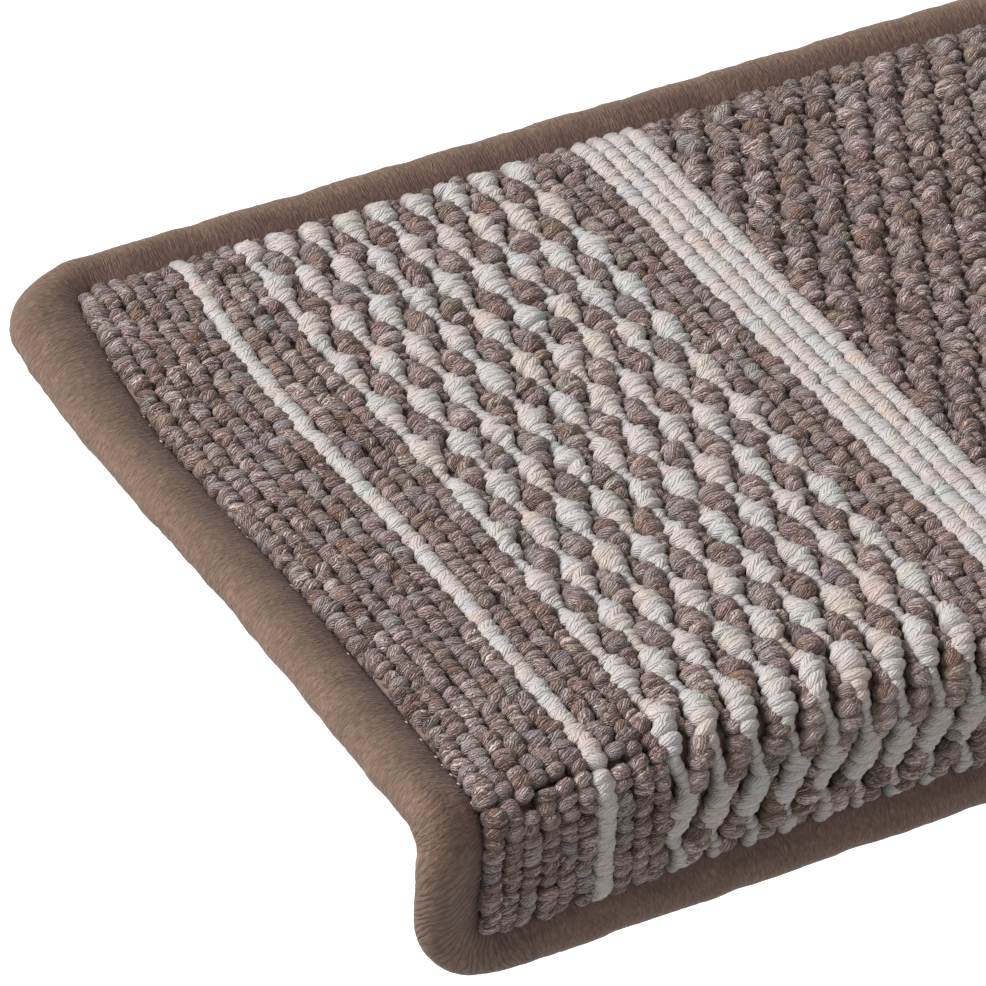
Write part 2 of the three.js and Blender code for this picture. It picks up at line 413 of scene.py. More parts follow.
@dataclass(frozen=True)
class PileFinish:
    """Heather pile yarn: colours that drift along a row, and strands that arch over every loop."""

    yarn: Yarn
    stops: tuple[tuple[float, Colour], ...]
    accents: tuple[tuple[Colour, float], ...]
    # A pale colour and its share, painted as highlights on short bits of strand
    glint: tuple[Colour, float]
    segment: float
    strand: float
    loop: float
    # Painted shade: the colour is darker in the grooves between the strands by this factor
    groove_shade: float
    # Painted shade: the colour is darker towards the loops' feet by this factor
    foot: float
    fibre: float
    relief: float
    strand_pitch: float

    def material(self) -> bpy.types.Material:
        """The yarn's material.

        Returns:
            The material, which reads the attributes of a pile's mesh.
        """
        tree = NodeTree.blank(self.yarn.value)
        across, back, up = tree.parts(tree.attribute("loop"))
        row, along, luck = tree.parts(tree.attribute("yarn"))
        place = tree.vector(across, tree.grown(luck, LOOP_APART, back), up)
        drift = tree.math("SUBTRACT", tree.noise(place, 0.5), 0.5)
        lean = tree.times(across, tree.grown(luck, 0.8, -0.5))
        angle = tree.math("ARCTAN2", back, up)
        arc = tree.grown(angle, LOOP_RADIUS, tree.grown(drift, 1.9, lean))
        turns = tree.math("DIVIDE", arc, self.strand_pitch)
        crest = tree.round_strand(turns)
        number = tree.math("FLOOR", turns)
        patch = tree.grown(tree.noise(place, 0.7), 4.0, tree.times(across, 0.35))
        strand = tree.chance(tree.vector(number, row, tree.math("ADD", luck, tree.math("FLOOR", patch))))
        fibres = tree.noise(tree.vector(tree.times(across, 1.1), turns, luck), 2.6, 4.0)
        fuzz = tree.noise(place, 3.6, 4.0)
        ground = tree.vector(tree.times(row, 5.3), tree.times(along, 0.085), 0.0)
        segment = tree.noise(ground, 1.0, 3.0)
        value = tree.swing(segment, self.segment, 0.5)
        value = tree.swing(strand, self.strand, value)
        value = tree.swing(luck, self.loop, value)
        colour = tree.ramp(value, self.stops)
        for order, (accent, share) in enumerate(self.accents):
            spot = tree.vector(tree.times(row, 3.7), tree.times(along, 0.5), 9.0 * order)
            odd = tree.swing(strand, 0.22, tree.noise(spot, 0.21, 1.0))
            colour = tree.mix(tree.spread(odd, 0.6, 0.68, 0.0, share), colour, accent)
        # Painted highlights: pale flecks on short bits of strand
        short = tree.vector(tree.times(across, 0.9), turns, tree.math("ADD", luck, 4.0))
        colour = tree.mix(
            tree.spread(tree.noise(short, 1.9), 0.58, 0.68, 0.0, self.glint[1]), colour, self.glint[0]
        )
        level = tree.swing(fibres, self.fibre, 1.0)
        level = tree.swing(fuzz, self.fibre, level)
        # Painted shade in the grooves between strands, broken up by the fuzz
        groove_shade_mask = tree.swing(fuzz, 1.3, crest)
        level = tree.times(level, tree.spread(groove_shade_mask, 0.0, 0.5, self.groove_shade, 1.0))
        # Painted shade, darker towards the foot of each loop
        level = tree.times(level, tree.spread(tree.attribute("rise", "Fac"), 0.5, 5.0, self.foot, 1.0))
        relief = tree.grown(fibres, 0.3, crest)
        tree.bump(tree.grown(fuzz, 0.9, relief), self.relief)
        return tree.settle(
            base_color=tree.scaled(colour, level),
            sheen_weight=0.08,
            sheen_roughness=0.4,
            specular_ior_level=0.28,
            roughness=0.4,
        )


@dataclass(frozen=True)
class BindingFinish:
    """Fine yarn wound side by side round the edge, with a little fuzz."""

    yarn: Colour = srgb(121, 98, 84)
    # Painted shade: a darker colour on the strip of the binding beside the pile
    painted_shade: Colour = srgb(107, 84, 75)
    # Pale flecks, painted as highlights on the fuzz
    fleck: Colour = srgb(164, 136, 118)
    winding: float = 0.8
    ply: float = 1.9
    relief: float = 0.00022

    def material(self) -> bpy.types.Material:
        """The binding's material.

        Returns:
            The material, which reads the places along and over the windings.
        """
        tree = NodeTree.blank("binding_yarn")
        along, over, _ = tree.parts(tree.add("ShaderNodeUVMap", uv_map="winding").outputs[0])
        crease = tree.attribute("crease", "Fac")
        wide = tree.vector(along, over, 0.0)
        drift = tree.math("SUBTRACT", tree.noise(wide, 0.13), 0.5)
        slid = tree.grown(over, 0.1, tree.grown(drift, 2.0, along))
        turns = tree.math("DIVIDE", slid, self.winding)
        crest = tree.round_strand(turns)
        strand = tree.chance(tree.vector(tree.math("FLOOR", turns), 1.0, 2.0))
        strip = tree.vector(tree.times(slid, 2.4), tree.times(over, 0.5), 7.0)
        streak = tree.noise(strip, 1.0, 4.0)
        blotch = tree.noise(tree.vector(tree.times(along, 0.6), over, 3.0), 0.17, 3.0)
        grain = tree.noise(tree.vector(slid, tree.times(over, 0.3), 1.0), 2.6, 3.0)
        plies = tree.math("DIVIDE", tree.grown(drift, 3.5, slid), self.ply)
        wound = tree.round_strand(plies)
        fold = tree.times(wound, crease)
        # Painted shade on the strip beside the pile, with a wobbly border
        edge = tree.swing(blotch, 7.0, over)
        colour = tree.mix(tree.spread(edge, 6.0, 10.5, 0.0, 1.0), self.painted_shade, self.yarn)
        # Painted highlights: pale flecks on the fuzz
        colour = tree.mix(tree.spread(grain, 0.56, 0.78, 0.0, 0.3), colour, self.fleck)
        level = tree.swing(streak, 1.1, 1.0)
        level = tree.swing(grain, 1.1, level)
        level = tree.times(level, tree.grown(strand, 0.1, 0.95))
        level = tree.times(level, tree.grown(blotch, 0.5, 0.75))
        # Painted shade in the grooves between windings and between plies
        level = tree.times(level, tree.spread(crest, 0.0, 0.5, 0.88, 1.0))
        level = tree.times(level, tree.grown(wound, 0.09, 0.92))
        # Painted shade in the puckers, lighter on the ply crests there
        shading = tree.grown(fold, 0.2, tree.grown(crease, -0.16, 1.0))
        height = tree.grown(grain, 1.1, tree.times(crest, 0.22))
        height = tree.grown(wound, 0.35, height)
        height = tree.math("ADD", height, tree.grown(fold, 1.2, tree.times(streak, 1.8)))
        tree.bump(height, self.relief)
        return tree.settle(
            base_color=tree.scaled(colour, tree.times(level, shading)),
            sheen_weight=0.08,
            sheen_roughness=0.4,
            specular_ior_level=0.2,
            roughness=0.65,
        )


@dataclass(frozen=True)
class PlainFinish:
    """A finish that speckles one colour and gives it a fine relief, in object places."""

    name: str
    colour: Colour
    second: Colour
    scale: float
    relief: float
    roughness: float
    stretch: Triple = (1.0, 1.0, 1.0)
    specular: float = 0.3
    sheen: float = 0.0

    def material(self) -> bpy.types.Material:
        """The finish's material.

        Returns:
            The material.
        """
        tree = NodeTree.blank(self.name)
        place = tree.add("ShaderNodeTexCoord").outputs["Object"]
        mapped = tree.add("ShaderNodeMapping", {"Vector": place, "Scale": self.stretch}).outputs[0]
        fine = tree.noise(mapped, self.scale, 5.0)
        broad = tree.noise(mapped, self.scale / 14, 2.0)
        share = tree.spread(tree.grown(broad, 0.5, fine), 0.55, 0.95, 0.0, 1.0)
        tree.bump(fine, self.relief)
        return tree.settle(
            base_color=tree.mix(share, self.colour, self.second),
            specular_ior_level=self.specular,
            sheen_weight=self.sheen,
            roughness=self.roughness,
        )


BROWN_PILE = PileFinish(
    yarn=Yarn.BROWN,
    stops=(
        (0.0, srgb(98, 73, 63)),
        (0.2, srgb(132, 103, 87)),
        (0.4, srgb(153, 125, 116)),
        (0.58, srgb(165, 141, 142)),
        (0.76, srgb(182, 163, 165)),
        (1.0, srgb(224, 204, 194)),
    ),
    accents=(
        (srgb(150, 102, 72), 0.45),
        (srgb(124, 112, 80), 0.4),
        (srgb(154, 143, 149), 0.75),
        (srgb(170, 167, 160), 0.6),
    ),
    glint=(srgb(232, 212, 202), 0.5),
    segment=1.1,
    strand=1.15,
    loop=0.34,
    groove_shade=0.7,
    foot=0.64,
    fibre=1.45,
    relief=0.00036,
    strand_pitch=0.7,
)

LIGHT_PILE = PileFinish(
    yarn=Yarn.LIGHT,
    stops=(
        (0.0, srgb(206, 191, 174)),
        (0.3, srgb(206, 192, 187)),
        (0.5, srgb(205, 197, 192)),
        (0.7, srgb(203, 196, 200)),
        (1.0, srgb(194, 201, 192)),
    ),
    accents=((srgb(208, 180, 170), 0.5), (srgb(188, 200, 184), 0.4)),
    glint=(srgb(224, 220, 216), 0.5),
    segment=2.0,
    strand=0.35,
    loop=0.1,
    groove_shade=0.94,
    foot=0.55,
    fibre=0.36,
    relief=0.0002,
    strand_pitch=0.9,
)

BINDING = BindingFinish()

# Partly the yarn's own brown, partly painted shade for the gaps between the loops
GROUND = PlainFinish("pile_ground", srgb(112, 91, 82), srgb(142, 118, 108), 900.0, 0.0004, 0.95)
FELT = PlainFinish(
    name="backing_felt",
    colour=srgb(134, 131, 124),
    second=srgb(164, 160, 150),
    scale=1400.0,
    relief=0.0003,
    roughness=0.95,
    stretch=(1.0, 0.35, 1.0),
    specular=0.15,
    sheen=0.3,
)
ANGLE = PlainFinish(
    name="angle_plastic",
    colour=srgb(224, 222, 214),
    second=srgb(234, 232, 226),
    scale=500.0,
    relief=0.00004,
    roughness=0.42,
    stretch=(0.05, 1.0, 1.0),
)
GRIP = PlainFinish("grip_rubber", srgb(40, 41, 44), srgb(58, 59, 62), 1100.0, 0.00035, 0.8)
STITCH = PlainFinish("stitch_thread", srgb(188, 158, 138), srgb(226, 206, 190), 2600.0, 0.0001, 0.6)


# Pieces


def object_from(name: str, mesh: bpy.types.Mesh) -> bpy.types.Object:
    """A new object, smooth shaded and in the scene.

    Args:
        name: the object's name.
        mesh: its mesh.

    Returns:
        The object.
    """
    mesh.shade_smooth()
    made = bpy.data.objects.new(name, mesh)
    bpy.context.scene.collection.objects.link(made)
    return made


def mesh_of(name: str, form: bmesh.types.BMesh) -> bpy.types.Mesh:
    """A new mesh of a form, which is then freed.

    Args:
        name: the mesh's name.
        form: the form.

    Returns:
        The mesh.
    """
    mesh = bpy.data.meshes.new(name)
    form.to_mesh(mesh)
    form.free()
    return mesh


@dataclass
class Piece:
    """One object of the visual model.

    Args:
        name: the object's name.
        slot: the record's material slot.
        replaced: the CAD nodes that it stands for.
    """

    name: str
    slot: str
    replaced: tuple[str, ...]

    def build(self) -> bpy.types.Mesh:
        """The piece's mesh, in the frame."""
        raise NotImplementedError

    def dress(self, material: bpy.types.Material) -> None:
        """Builds the piece, gives it its material and joins it to the frame.

        Args:
            material: the piece's finish.
        """
        made = object_from(self.name, self.build())
        made.data.materials.append(material)
        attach(made, BODY)
        if self.replaced:
            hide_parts(*self.replaced)
        faces = sum(len(polygon.vertices) - 2 for polygon in made.data.polygons)
        LOG.info("%s: %d triangles", self.name, faces)


@dataclass(frozen=True)
class RowProfile:
    """Width and height of a row along one period, as distances from the middle of its bubble."""

    places: tuple[float, ...]
    widths: tuple[float, ...]
    heights: tuple[float, ...]
    period: float = 18.7

    def at(self, s: np.ndarray, middle: np.ndarray) -> tuple[np.ndarray, np.ndarray, np.ndarray]:
        """The profile at places of a row.

        Args:
            s: places along the mat.
            middle: for each place, where the middle of the row's first bubble is.

        Returns:
            Widths, heights and distances from the bubble's middle.
        """
        phase = (s - middle + self.period / 2) % self.period - self.period / 2
        width = np.interp(phase, self.places, self.widths, period=self.period)
        height = np.interp(phase, self.places, self.heights, period=self.period)
        return width, height, phase


LIGHT_BUBBLE = RowProfile(
    (-7.4, -6.0, -4.6, -1.8, 1.2, 4.0, 5.8, 7.4, 9.2),
    (4.1, 5.4, 6.8, 7.7, 7.4, 6.2, 4.9, 4.1, 3.9),
    (4.9, 5.4, 6.0, 6.8, 6.6, 6.0, 5.3, 4.8, 4.7),
)
DARK_BUBBLE = RowProfile(
    (-7.2, -5.8, -4.4, -1.6, 1.4, 4.2, 6.0, 7.4, 9.2),
    (3.2, 4.5, 6.0, 7.0, 6.9, 5.8, 4.1, 3.1, 2.9),
    (4.5, 5.1, 5.8, 6.6, 6.6, 5.9, 5.1, 4.5, 4.3),
)


@dataclass
class LoopRow:
    """The loops of one row: places in the flat mat, and sizes.

    Args:
        row: the row's number from the left.
        s: places along the mat.
        width: sizes across.
        length: sizes along.
        top: heights over the pile's base.
        aside: shifts across.
    """

    row: int
    s: np.ndarray
    width: np.ndarray
    length: np.ndarray
    top: np.ndarray
    aside: np.ndarray


@dataclass
class RowMaker:
    """Makes rows of plain loops and rows of bubbles, with the small differences of real yarn.

    Args:
        chance: the source of the differences.
        brown_loop: width, length and unevenness in height of a brown plain loop.
        light_loop: the same for a light one.
        crack: where plain rows part over the nose.
        tuck: how far the bubbles slide towards the foot of the lip, along tuck_stretch.
        slant: how much the bubbles lean across, at both ends of slant_stretch.
    """

    chance: np.random.Generator
    brown_loop: Triple = (5.4, 4.15, 0.34)
    light_loop: Triple = (5.6, 4.6, 0.13)
    loop_top: float = 5.6
    first_bubble: float = 18.9
    stitch: float = 18.7 / 6
    light_stitch: float = 18.7 / 9
    crack: float = 227.6
    crack_width: float = 0.55
    crack_reach: float = 3.2
    tuck: float = 2.6
    tuck_stretch: tuple[float, float] = (234, 252)
    slant: tuple[float, float] = (0.05, 0.42)
    slant_stretch: tuple[float, float] = (205, 240)

    def ends(self, row: int) -> tuple[float, float]:
        """Where a row starts and ends beside the binding; at the lip it leans over it a little."""
        setback = float(LAYOUT.corner_setback(np.array([LAYOUT.row_middle(row)]))[0])
        return LAYOUT.pile_start + setback, LAYOUT.pile_end - setback + 0.8

    def stitches(self, row: int, is_light: bool) -> np.ndarray:
        """Where a row's loops stand: evenly spaced, and a little more open round the bend.

        Args:
            row: the row's number from the left.
            is_light: whether its yarn is the light one, which has finer stitches.

        Returns:
            Places along the mat.
        """
        pitch = self.light_stitch if is_light else self.stitch
        places = LAYOUT.crest_walk(*self.ends(row), pitch, 6.0)
        return places + self.chance.normal(0, 0.1 * pitch, places.size)

    def ease(self, row: int, s: np.ndarray) -> np.ndarray:
        """How full the loops are: less beside the back binding and at the lip's foot.

        Args:
            row: the row's number from the left.
            s: places along the mat.

        Returns:
            Shares of the full size.
        """
        start, end = self.ends(row)
        back, front = np.clip((s - start) / 6, 0, 1), np.clip((end - s) / 3, 0, 1)
        return np.minimum(0.58 + 0.42 * back, 0.72 + 0.28 * front)

    def plain(self, row: int, is_light: bool) -> LoopRow:
        """A row of plain loops, with the crack that opens over the nose.

        Args:
            row: the row's number from the left.
            is_light: whether its yarn is the light one.

        Returns:
            The row.
        """
        s = self.stitches(row, is_light)
        crack = self.crack + self.chance.normal(0, 0.7)
        opened = self.crack_width * self.chance.uniform(0.3, 1.7)
        s = s + np.sign(s - crack) * opened * np.exp(-(((s - crack) / self.crack_reach) ** 2))
        wide, long, loose = self.light_loop if is_light else self.brown_loop
        full = self.ease(row, s)
        width = wide * self.chance.normal(1, 0.08, s.size) * (0.4 + 0.6 * full)
        length = (long + 0.3 * LAYOUT.opening(s)) * self.chance.normal(1, 0.1, s.size)
        top = (self.loop_top + self.chance.normal(0, loose, s.size)) * full
        aside = self.chance.normal(0, 0.24 if is_light else 0.4, s.size)
        return LoopRow(row, s, width, length, top, aside)

    def bubbles(self, row: int, profile: RowProfile, is_late: bool) -> LoopRow:
        """A row of bubbles and necks, thin where it is tucked in at the lip's foot.

        Args:
            row: the row's number from the left.
            profile: width and height along one period.
            is_late: whether its bubbles come half a period further on.

        Returns:
            The row.
        """
        is_light = profile is LIGHT_BUBBLE
        s = self.stitches(row, is_light)
        middle = self.first_bubble + (profile.period / 2 if is_late else 0)
        wander = 0.5 * math.sin(row * 1.7) + 0.6 * np.sin(s / 31.0 + row * 0.9)
        wander = wander + np.interp(s, self.tuck_stretch, (0, self.tuck))
        width, top, phase = profile.at(s, middle + wander)
        full = self.ease(row, s)
        tucked = np.interp(self.ends(row)[1] - s, (0, 5), (0.5, 1))
        width = width * self.chance.normal(1, 0.07, s.size) * (0.4 + 0.6 * full) * tucked
        long = (3.1, 3.8) if is_light else (4.1, 4.4)
        length = np.interp(width, (2.2, 7.0), long) + 0.8 * LAYOUT.opening(s)
        length = length * self.chance.normal(1, 0.07, s.size)
        loose = self.chance.normal(0, 0.14 if is_light else 0.24, s.size)
        top = (top + loose) * full * (0.3 + 0.7 * tucked)
        slant = np.interp(s, self.slant_stretch, self.slant) * (1 - (2 * phase / profile.period) ** 2)
        aside = self.chance.normal(0, 0.2 if is_light else 0.32, s.size) - slant * phase
        return LoopRow(row, s, width, length, top, aside)

    def made(self, row: int, kind: RowKind) -> LoopRow:
        """A row of a kind; dark bubbles come half a period after the light ones.

        Args:
            row: the row's number from the left.
            kind: its kind.

        Returns:
            The row.
        """
        if kind is RowKind.LIGHT_BUBBLES:
            return self.bubbles(row, LIGHT_BUBBLE, False)
        if kind is RowKind.DARK_BUBBLES:
            return self.bubbles(row, DARK_BUBBLE, True)
        return self.plain(row, kind is RowKind.STRIPE)


@dataclass
class LoopPile(Piece):
    """A group of pile rows as one object: every loop is a copy of one small form.

    Args:
        rows: the rows.
        grade: how fine a loop's mesh is.
        chance: the source of the loops' small turns.
        tallest: height of a loop's form; taller loops stand higher instead.
        mean_turn: degrees round the row's three axes that loops are turned by on average.
        turn_spread: how much that differs from loop to loop.
    """

    rows: list[LoopRow]
    grade: Grade
    chance: np.random.Generator
    tallest: float = 6.4
    mean_turn: Triple = (0, 0, 7)
    turn_spread: Triple = (12, 8, 16)

    def form(self) -> bmesh.types.BMesh:
        """One loop of size 1, with its poles at the row's sides.

        Returns:
            The loop, a little squarer than a ball.
        """
        around, rings, roundness = self.grade.value
        made = bmesh.new()
        bmesh.ops.create_uvsphere(made, u_segments=around, v_segments=rings, radius=0.5)
        bmesh.ops.rotate(made, verts=made.verts, matrix=Euler((0, math.pi / 2, 0)).to_matrix())
        for vert in made.verts:
            for axis in (0, 2):
                share = abs(vert.co[axis]) * 2
                vert.co[axis] = math.copysign(0.5 * share**roundness, vert.co[axis])
        return made

    def placed(self, form: np.ndarray, row: LoopRow) -> tuple[np.ndarray, ...]:
        """Copies of the form along one row.

        Args:
            form: the form's vertices.
            row: the row.

        Returns:
            Places in the frame, places on each loop, yarn numbers and heights, one line a vertex.
        """
        count = row.s.size
        height = np.minimum(row.top, self.tallest)
        sizes = np.column_stack([row.width, row.length, height])
        local = form[None, :, :] * sizes[:, None, :]
        angles = np.radians(self.chance.normal(self.mean_turn, self.turn_spread, (count, 3)))
        turns = np.stack([np.array(Euler(a).to_matrix()) for a in angles])
        turned = np.einsum("nij,nvj->nvi", turns, local)
        x = LAYOUT.row_middle(row.row) + row.aside + 0.45 * np.sin(row.s / 23.0 + row.row * 0.21)
        limit = LAYOUT.pile_half_width - row.width / 2 + 1.0
        x = np.clip(x, -limit, limit)
        middle = LAYOUT.pile_base + row.top - height / 2
        turn = LAYOUT.turn(row.s)
        back = np.column_stack([np.zeros(count), np.cos(turn), np.sin(turn)])
        up = np.column_stack([np.zeros(count), -np.sin(turn), np.cos(turn)])
        places = LAYOUT.bend(np.column_stack([x, row.s, middle]))
        world = np.repeat(places[:, None, :], form.shape[0], axis=1)
        world[:, :, 0] += turned[:, :, 0] * MM
        world += (turned[:, :, 1:2] * back[:, None, :] + turned[:, :, 2:3] * up[:, None, :]) * MM
        luck = self.chance.random(count)
        numbers = np.column_stack([np.full(count, float(row.row)), row.s, luck])
        numbers = np.repeat(numbers[:, None, :], form.shape[0], axis=1)
        rise = middle[:, None] - LAYOUT.pile_base + turned[:, :, 2]
        return world.reshape(-1, 3), local.reshape(-1, 3), numbers.reshape(-1, 3), rise.reshape(-1)

    def build(self) -> bpy.types.Mesh:
        """All copies as one mesh.

        Returns:
            The mesh, with the attributes that the yarn's material reads.
        """
        form = self.form()
        form.verts.index_update()
        corners = np.array([vert.co for vert in form.verts])
        faces = [[vert.index for vert in face.verts] for face in form.faces]
        form.free()
        groups = [self.placed(corners, row) for row in self.rows]
        world, local, numbers, rise = (np.concatenate(part) for part in zip(*groups))
        copies = world.shape[0] // corners.shape[0]
        totals = np.array([len(face) for face in faces])
        loops = np.concatenate(faces)
        shifts = np.repeat(np.arange(copies) * corners.shape[0], loops.size)
        mesh = bpy.data.meshes.new(self.name)
        mesh.vertices.add(world.shape[0])
        mesh.vertices.foreach_set("co", world.ravel())
        mesh.loops.add(loops.size * copies)
        mesh.loops.foreach_set("vertex_index", np.tile(loops, copies) + shifts)
        all_totals = np.tile(totals, copies)
        mesh.polygons.add(all_totals.size)
        mesh.polygons.foreach_set("loop_start", np.cumsum(all_totals) - all_totals)
        for name, kind, key, values in (
            ("loop", "FLOAT_VECTOR", "vector", local),
            ("yarn", "FLOAT_VECTOR", "vector", numbers),
            ("rise", "FLOAT", "value", rise),
        ):
            mesh.attributes.new(name, kind, "POINT").data.foreach_set(key, values.ravel())
        mesh.update(calc_edges=True)
        mesh.validate()
        return mesh


def bend_form(form: bmesh.types.BMesh) -> None:
    """Bends a closed form made in flat places into the frame and faces it outwards.

    Args:
        form: the form, which is changed.
    """
    flat = np.array([vert.co for vert in form.verts], float)
    for vert, place in zip(form.verts, LAYOUT.bend(flat)):
        vert.co = place
    bmesh.ops.recalc_face_normals(form, faces=form.faces)


@dataclass
class PileGround(Piece):
    """The feet of the yarns in the gaps between the loops: partly their own darker brown, partly painted
    shade.
    """

    height: float = 2.6
    nose_height: float = 0.9
    falls: tuple[float, float] = (204, 224)
    inset: float = 0.5

    def build(self) -> bpy.types.Mesh:
        """A sheet that follows the bend.

        Returns:
            The sheet, with the pile's round corners.
        """
        form = bmesh.new()
        bmesh.ops.create_grid(form, x_segments=60, y_segments=84, size=1.0)
        for vert in form.verts:
            x = vert.co.x * (LAYOUT.pile_half_width - self.inset)
            setback = float(LAYOUT.corner_setback(np.array([x]))[0]) + self.inset
            low, high = LAYOUT.pile_start + setback, LAYOUT.pile_end - setback
            vert.co = (x, low + (high - low) * (vert.co.y + 1) / 2, LAYOUT.pile_base)
        grown = bmesh.ops.extrude_face_region(form, geom=form.faces[:], use_keep_orig=True)
        for part in grown["geom"]:
            if isinstance(part, bmesh.types.BMVert):
                part.co.z += float(np.interp(part.co.y, self.falls, (self.height, self.nose_height)))
        bend_form(form)
        return mesh_of(self.name, form)


@dataclass
class EdgeBinding(Piece):
    """Yarn wound round the whole edge: over the roll, under the backing and back along its slot.

    Args:
        chance: the source of the windings' unevenness.
        step: distance between sections along the edge.
        waves: turns round the mat and height of each slow wave in the windings.
        lip_crease: where on the lip the puckers start and where they are full.
        nose_crease: where on the nose there are puckers, how far they reach and how deep they are.
    """

    chance: np.random.Generator
    step: float = 1.25
    side_width: float = 15.4
    back_width: float = 12.5
    lip_width: float = 14.3
    corner_radius: float = 24.0
    roll_depth: float = 6.0
    roll_top: float = 8.5
    roll_bottom: float = -0.8
    layer_gap: float = 0.3
    fall: float = 3.4
    winding_fan: float = 0.02
    fan_reach: float = 24.0
    lip_crease: tuple[float, float] = (232, 242)
    nose_crease: Triple = (222, 7, 0.25)
    unevenness: float = 0.045
    waves: tuple[tuple[int, float], ...] = ((37, 0.1), (61, 0.12), (113, 0.09), (171, 0.06))

    def corner(self, side: int, is_front: bool, start: float) -> list[Pair]:
        """Outer and inner places round one corner of the flat mat.

        Args:
            side: -1 for the left and 1 for the right.
            is_front: whether the corner is at the lip's foot.
            start: angle at which the corner starts.

        Returns:
            The places, in order round the mat.
        """
        inner_radius = LAYOUT.inner_corner_radius
        radius = self.corner_radius
        length = LAYOUT.sheet_length
        outer_s = length - radius if is_front else radius
        inner_s = length - self.lip_width - inner_radius if is_front else self.back_width + inner_radius
        outer_x = side * (LAYOUT.half_width - radius)
        inner_x = side * (LAYOUT.half_width - self.side_width - inner_radius)
        pairs = []
        for angle in np.linspace(start, start + math.pi / 2, 25):
            across, along = math.cos(angle), math.sin(angle)
            outer = (outer_x + radius * across, outer_s + radius * along)
            inner = (inner_x + inner_radius * across, inner_s + inner_radius * along)
            pairs.append((outer, inner))
        return pairs

    def over_nose(self, side: int) -> list[Pair]:
        """Outer and inner places where one side goes over the nose.

        Args:
            side: -1 for the left and 1 for the right.

        Returns:
            The places, from the tread part to the lip.
        """
        places = LAYOUT.flat_length + np.linspace(0, LAYOUT.bend_length, 13)
        inner = LAYOUT.half_width - self.side_width
        return [((side * LAYOUT.half_width, s), (side * inner, s)) for s in places]

    def stations(self) -> np.ndarray:
        """Sections all round the mat, evenly spaced between the ones that matter.

        Returns:
            For each section its outer and its inner place.
        """
        half = math.pi / 2
        keys = [
            *self.corner(-1, False, 2 * half),
            *self.corner(1, False, 3 * half),
            *self.over_nose(1),
            *self.corner(1, True, 0),
            *self.corner(-1, True, half),
            *reversed(self.over_nose(-1)),
        ]
        found = []
        for here, there in zip(keys, [*keys[1:], keys[0]]):
            first, step = np.array(here), np.array(there) - np.array(here)
            count = max(1, math.ceil(np.linalg.norm(step, axis=1).max() / self.step))
            shares = np.arange(count)[:, None, None] / count
            found.append(first[None] + step[None] * shares)
        return np.concatenate(found)

    def outline(self, width: float) -> np.ndarray:
        """The binding's section, from the pile over the roll and back along the slot.

        Args:
            width: the binding's width there.

        Returns:
            Places [distance in from the edge, height].
        """
        inward = np.linspace(1.0, 0.0, 8)
        top = [
            (self.roll_depth + (width - self.roll_depth - 0.3) * t, self.roll_top - self.fall * t**1.5)
            for t in inward
        ]
        middle = (self.roll_top + self.roll_bottom) / 2
        reach = (self.roll_top - self.roll_bottom) / 2
        turns = np.linspace(math.pi / 2, -math.pi / 2, 13)[1:]
        roll = [(self.roll_depth * (1 - math.cos(t)), middle + reach * math.sin(t)) for t in turns]
        edge = self.roll_top - self.fall
        start = [(width + 1.7, LAYOUT.pile_base), (width + 1.5, edge - 1.7)]
        under = [
            (width - 1.0, self.roll_bottom),
            (width, self.roll_bottom + 0.1),
            (width, -self.layer_gap),
            (self.roll_depth, -self.layer_gap),
            (self.roll_depth, LAYOUT.pile_base),
        ]
        return np.array([*start, *top, *roll, *under])

    def crease(self, stations: np.ndarray) -> np.ndarray:
        """How deeply the windings are puckered: most at the lip's corners, a little on the nose.

        Args:
            stations: the sections' outer and inner places.

        Returns:
            A depth from 0 to 1 for each section.
        """
        s = stations[:, 0, 1]
        across = np.abs(stations[:, 0, 0])
        on_side = across > LAYOUT.half_width - self.corner_radius - 6
        lip = np.interp(s, self.lip_crease, (0, 1)) * on_side
        middle, reach, depth = self.nose_crease
        nose = np.exp(-(((s - middle) / reach) ** 2)) * depth * on_side
        return np.maximum(lip, nose)

    def build(self) -> bpy.types.Mesh:
        """The section swept round the mat.

        Returns:
            The mesh, closed at its seams, with a UV map of places along and over the windings.
        """
        stations = self.stations()
        count = len(stations)
        middles = stations.mean(axis=1)
        steps = np.linalg.norm(np.roll(middles, -1, axis=0) - middles, axis=1)
        along = np.concatenate([[0], np.cumsum(steps)])
        size = len(self.outline(self.back_width))
        waves = sum(
            amount * np.sin(along[:-1] * 2 * math.pi * turns / along[-1] + turns)
            for turns, amount in self.waves
        )
        rough = waves + self.chance.normal(0, self.unevenness, count)
        form = bmesh.new()
        bmesh.ops.create_grid(form, x_segments=count, y_segments=size, size=1.0)
        form.verts.ensure_lookup_table()
        layer = form.verts.layers.float.new("crease")
        uv = form.loops.layers.uv.new("winding")
        crease = self.crease(stations)
        fan = -np.sign(stations[:, 0, 0]) * crease * self.winding_fan
        places, wound = [], []
        for number, (outer, inner) in enumerate(stations):
            width = float(np.linalg.norm(inner - outer))
            section = self.outline(width)
            spans = np.linalg.norm(np.roll(section, -1, axis=0) - section, axis=1)
            wound.append(np.concatenate([[0], np.cumsum(spans)]))
            lift = np.where((section[:, 1] > 3.4) | (section[:, 0] < 5.9), rough[number], 0.0)
            push = section + lift[:, None] * self.outward(section)
            flat = outer[None] + (inner - outer)[None] * (push[:, :1] / width)
            places.append(np.column_stack([flat, push[:, 1]]))
        grid_x = np.array([vert.co.x for vert in form.verts])
        grid_y = np.array([vert.co.y for vert in form.verts])
        columns = np.rint((grid_x + 1) / 2 * count).astype(int)
        lines = np.rint((grid_y + 1) / 2 * size).astype(int)
        bent = LAYOUT.bend(np.concatenate(places)).reshape(count, size, 3)
        for vert, column, line in zip(form.verts, columns, lines):
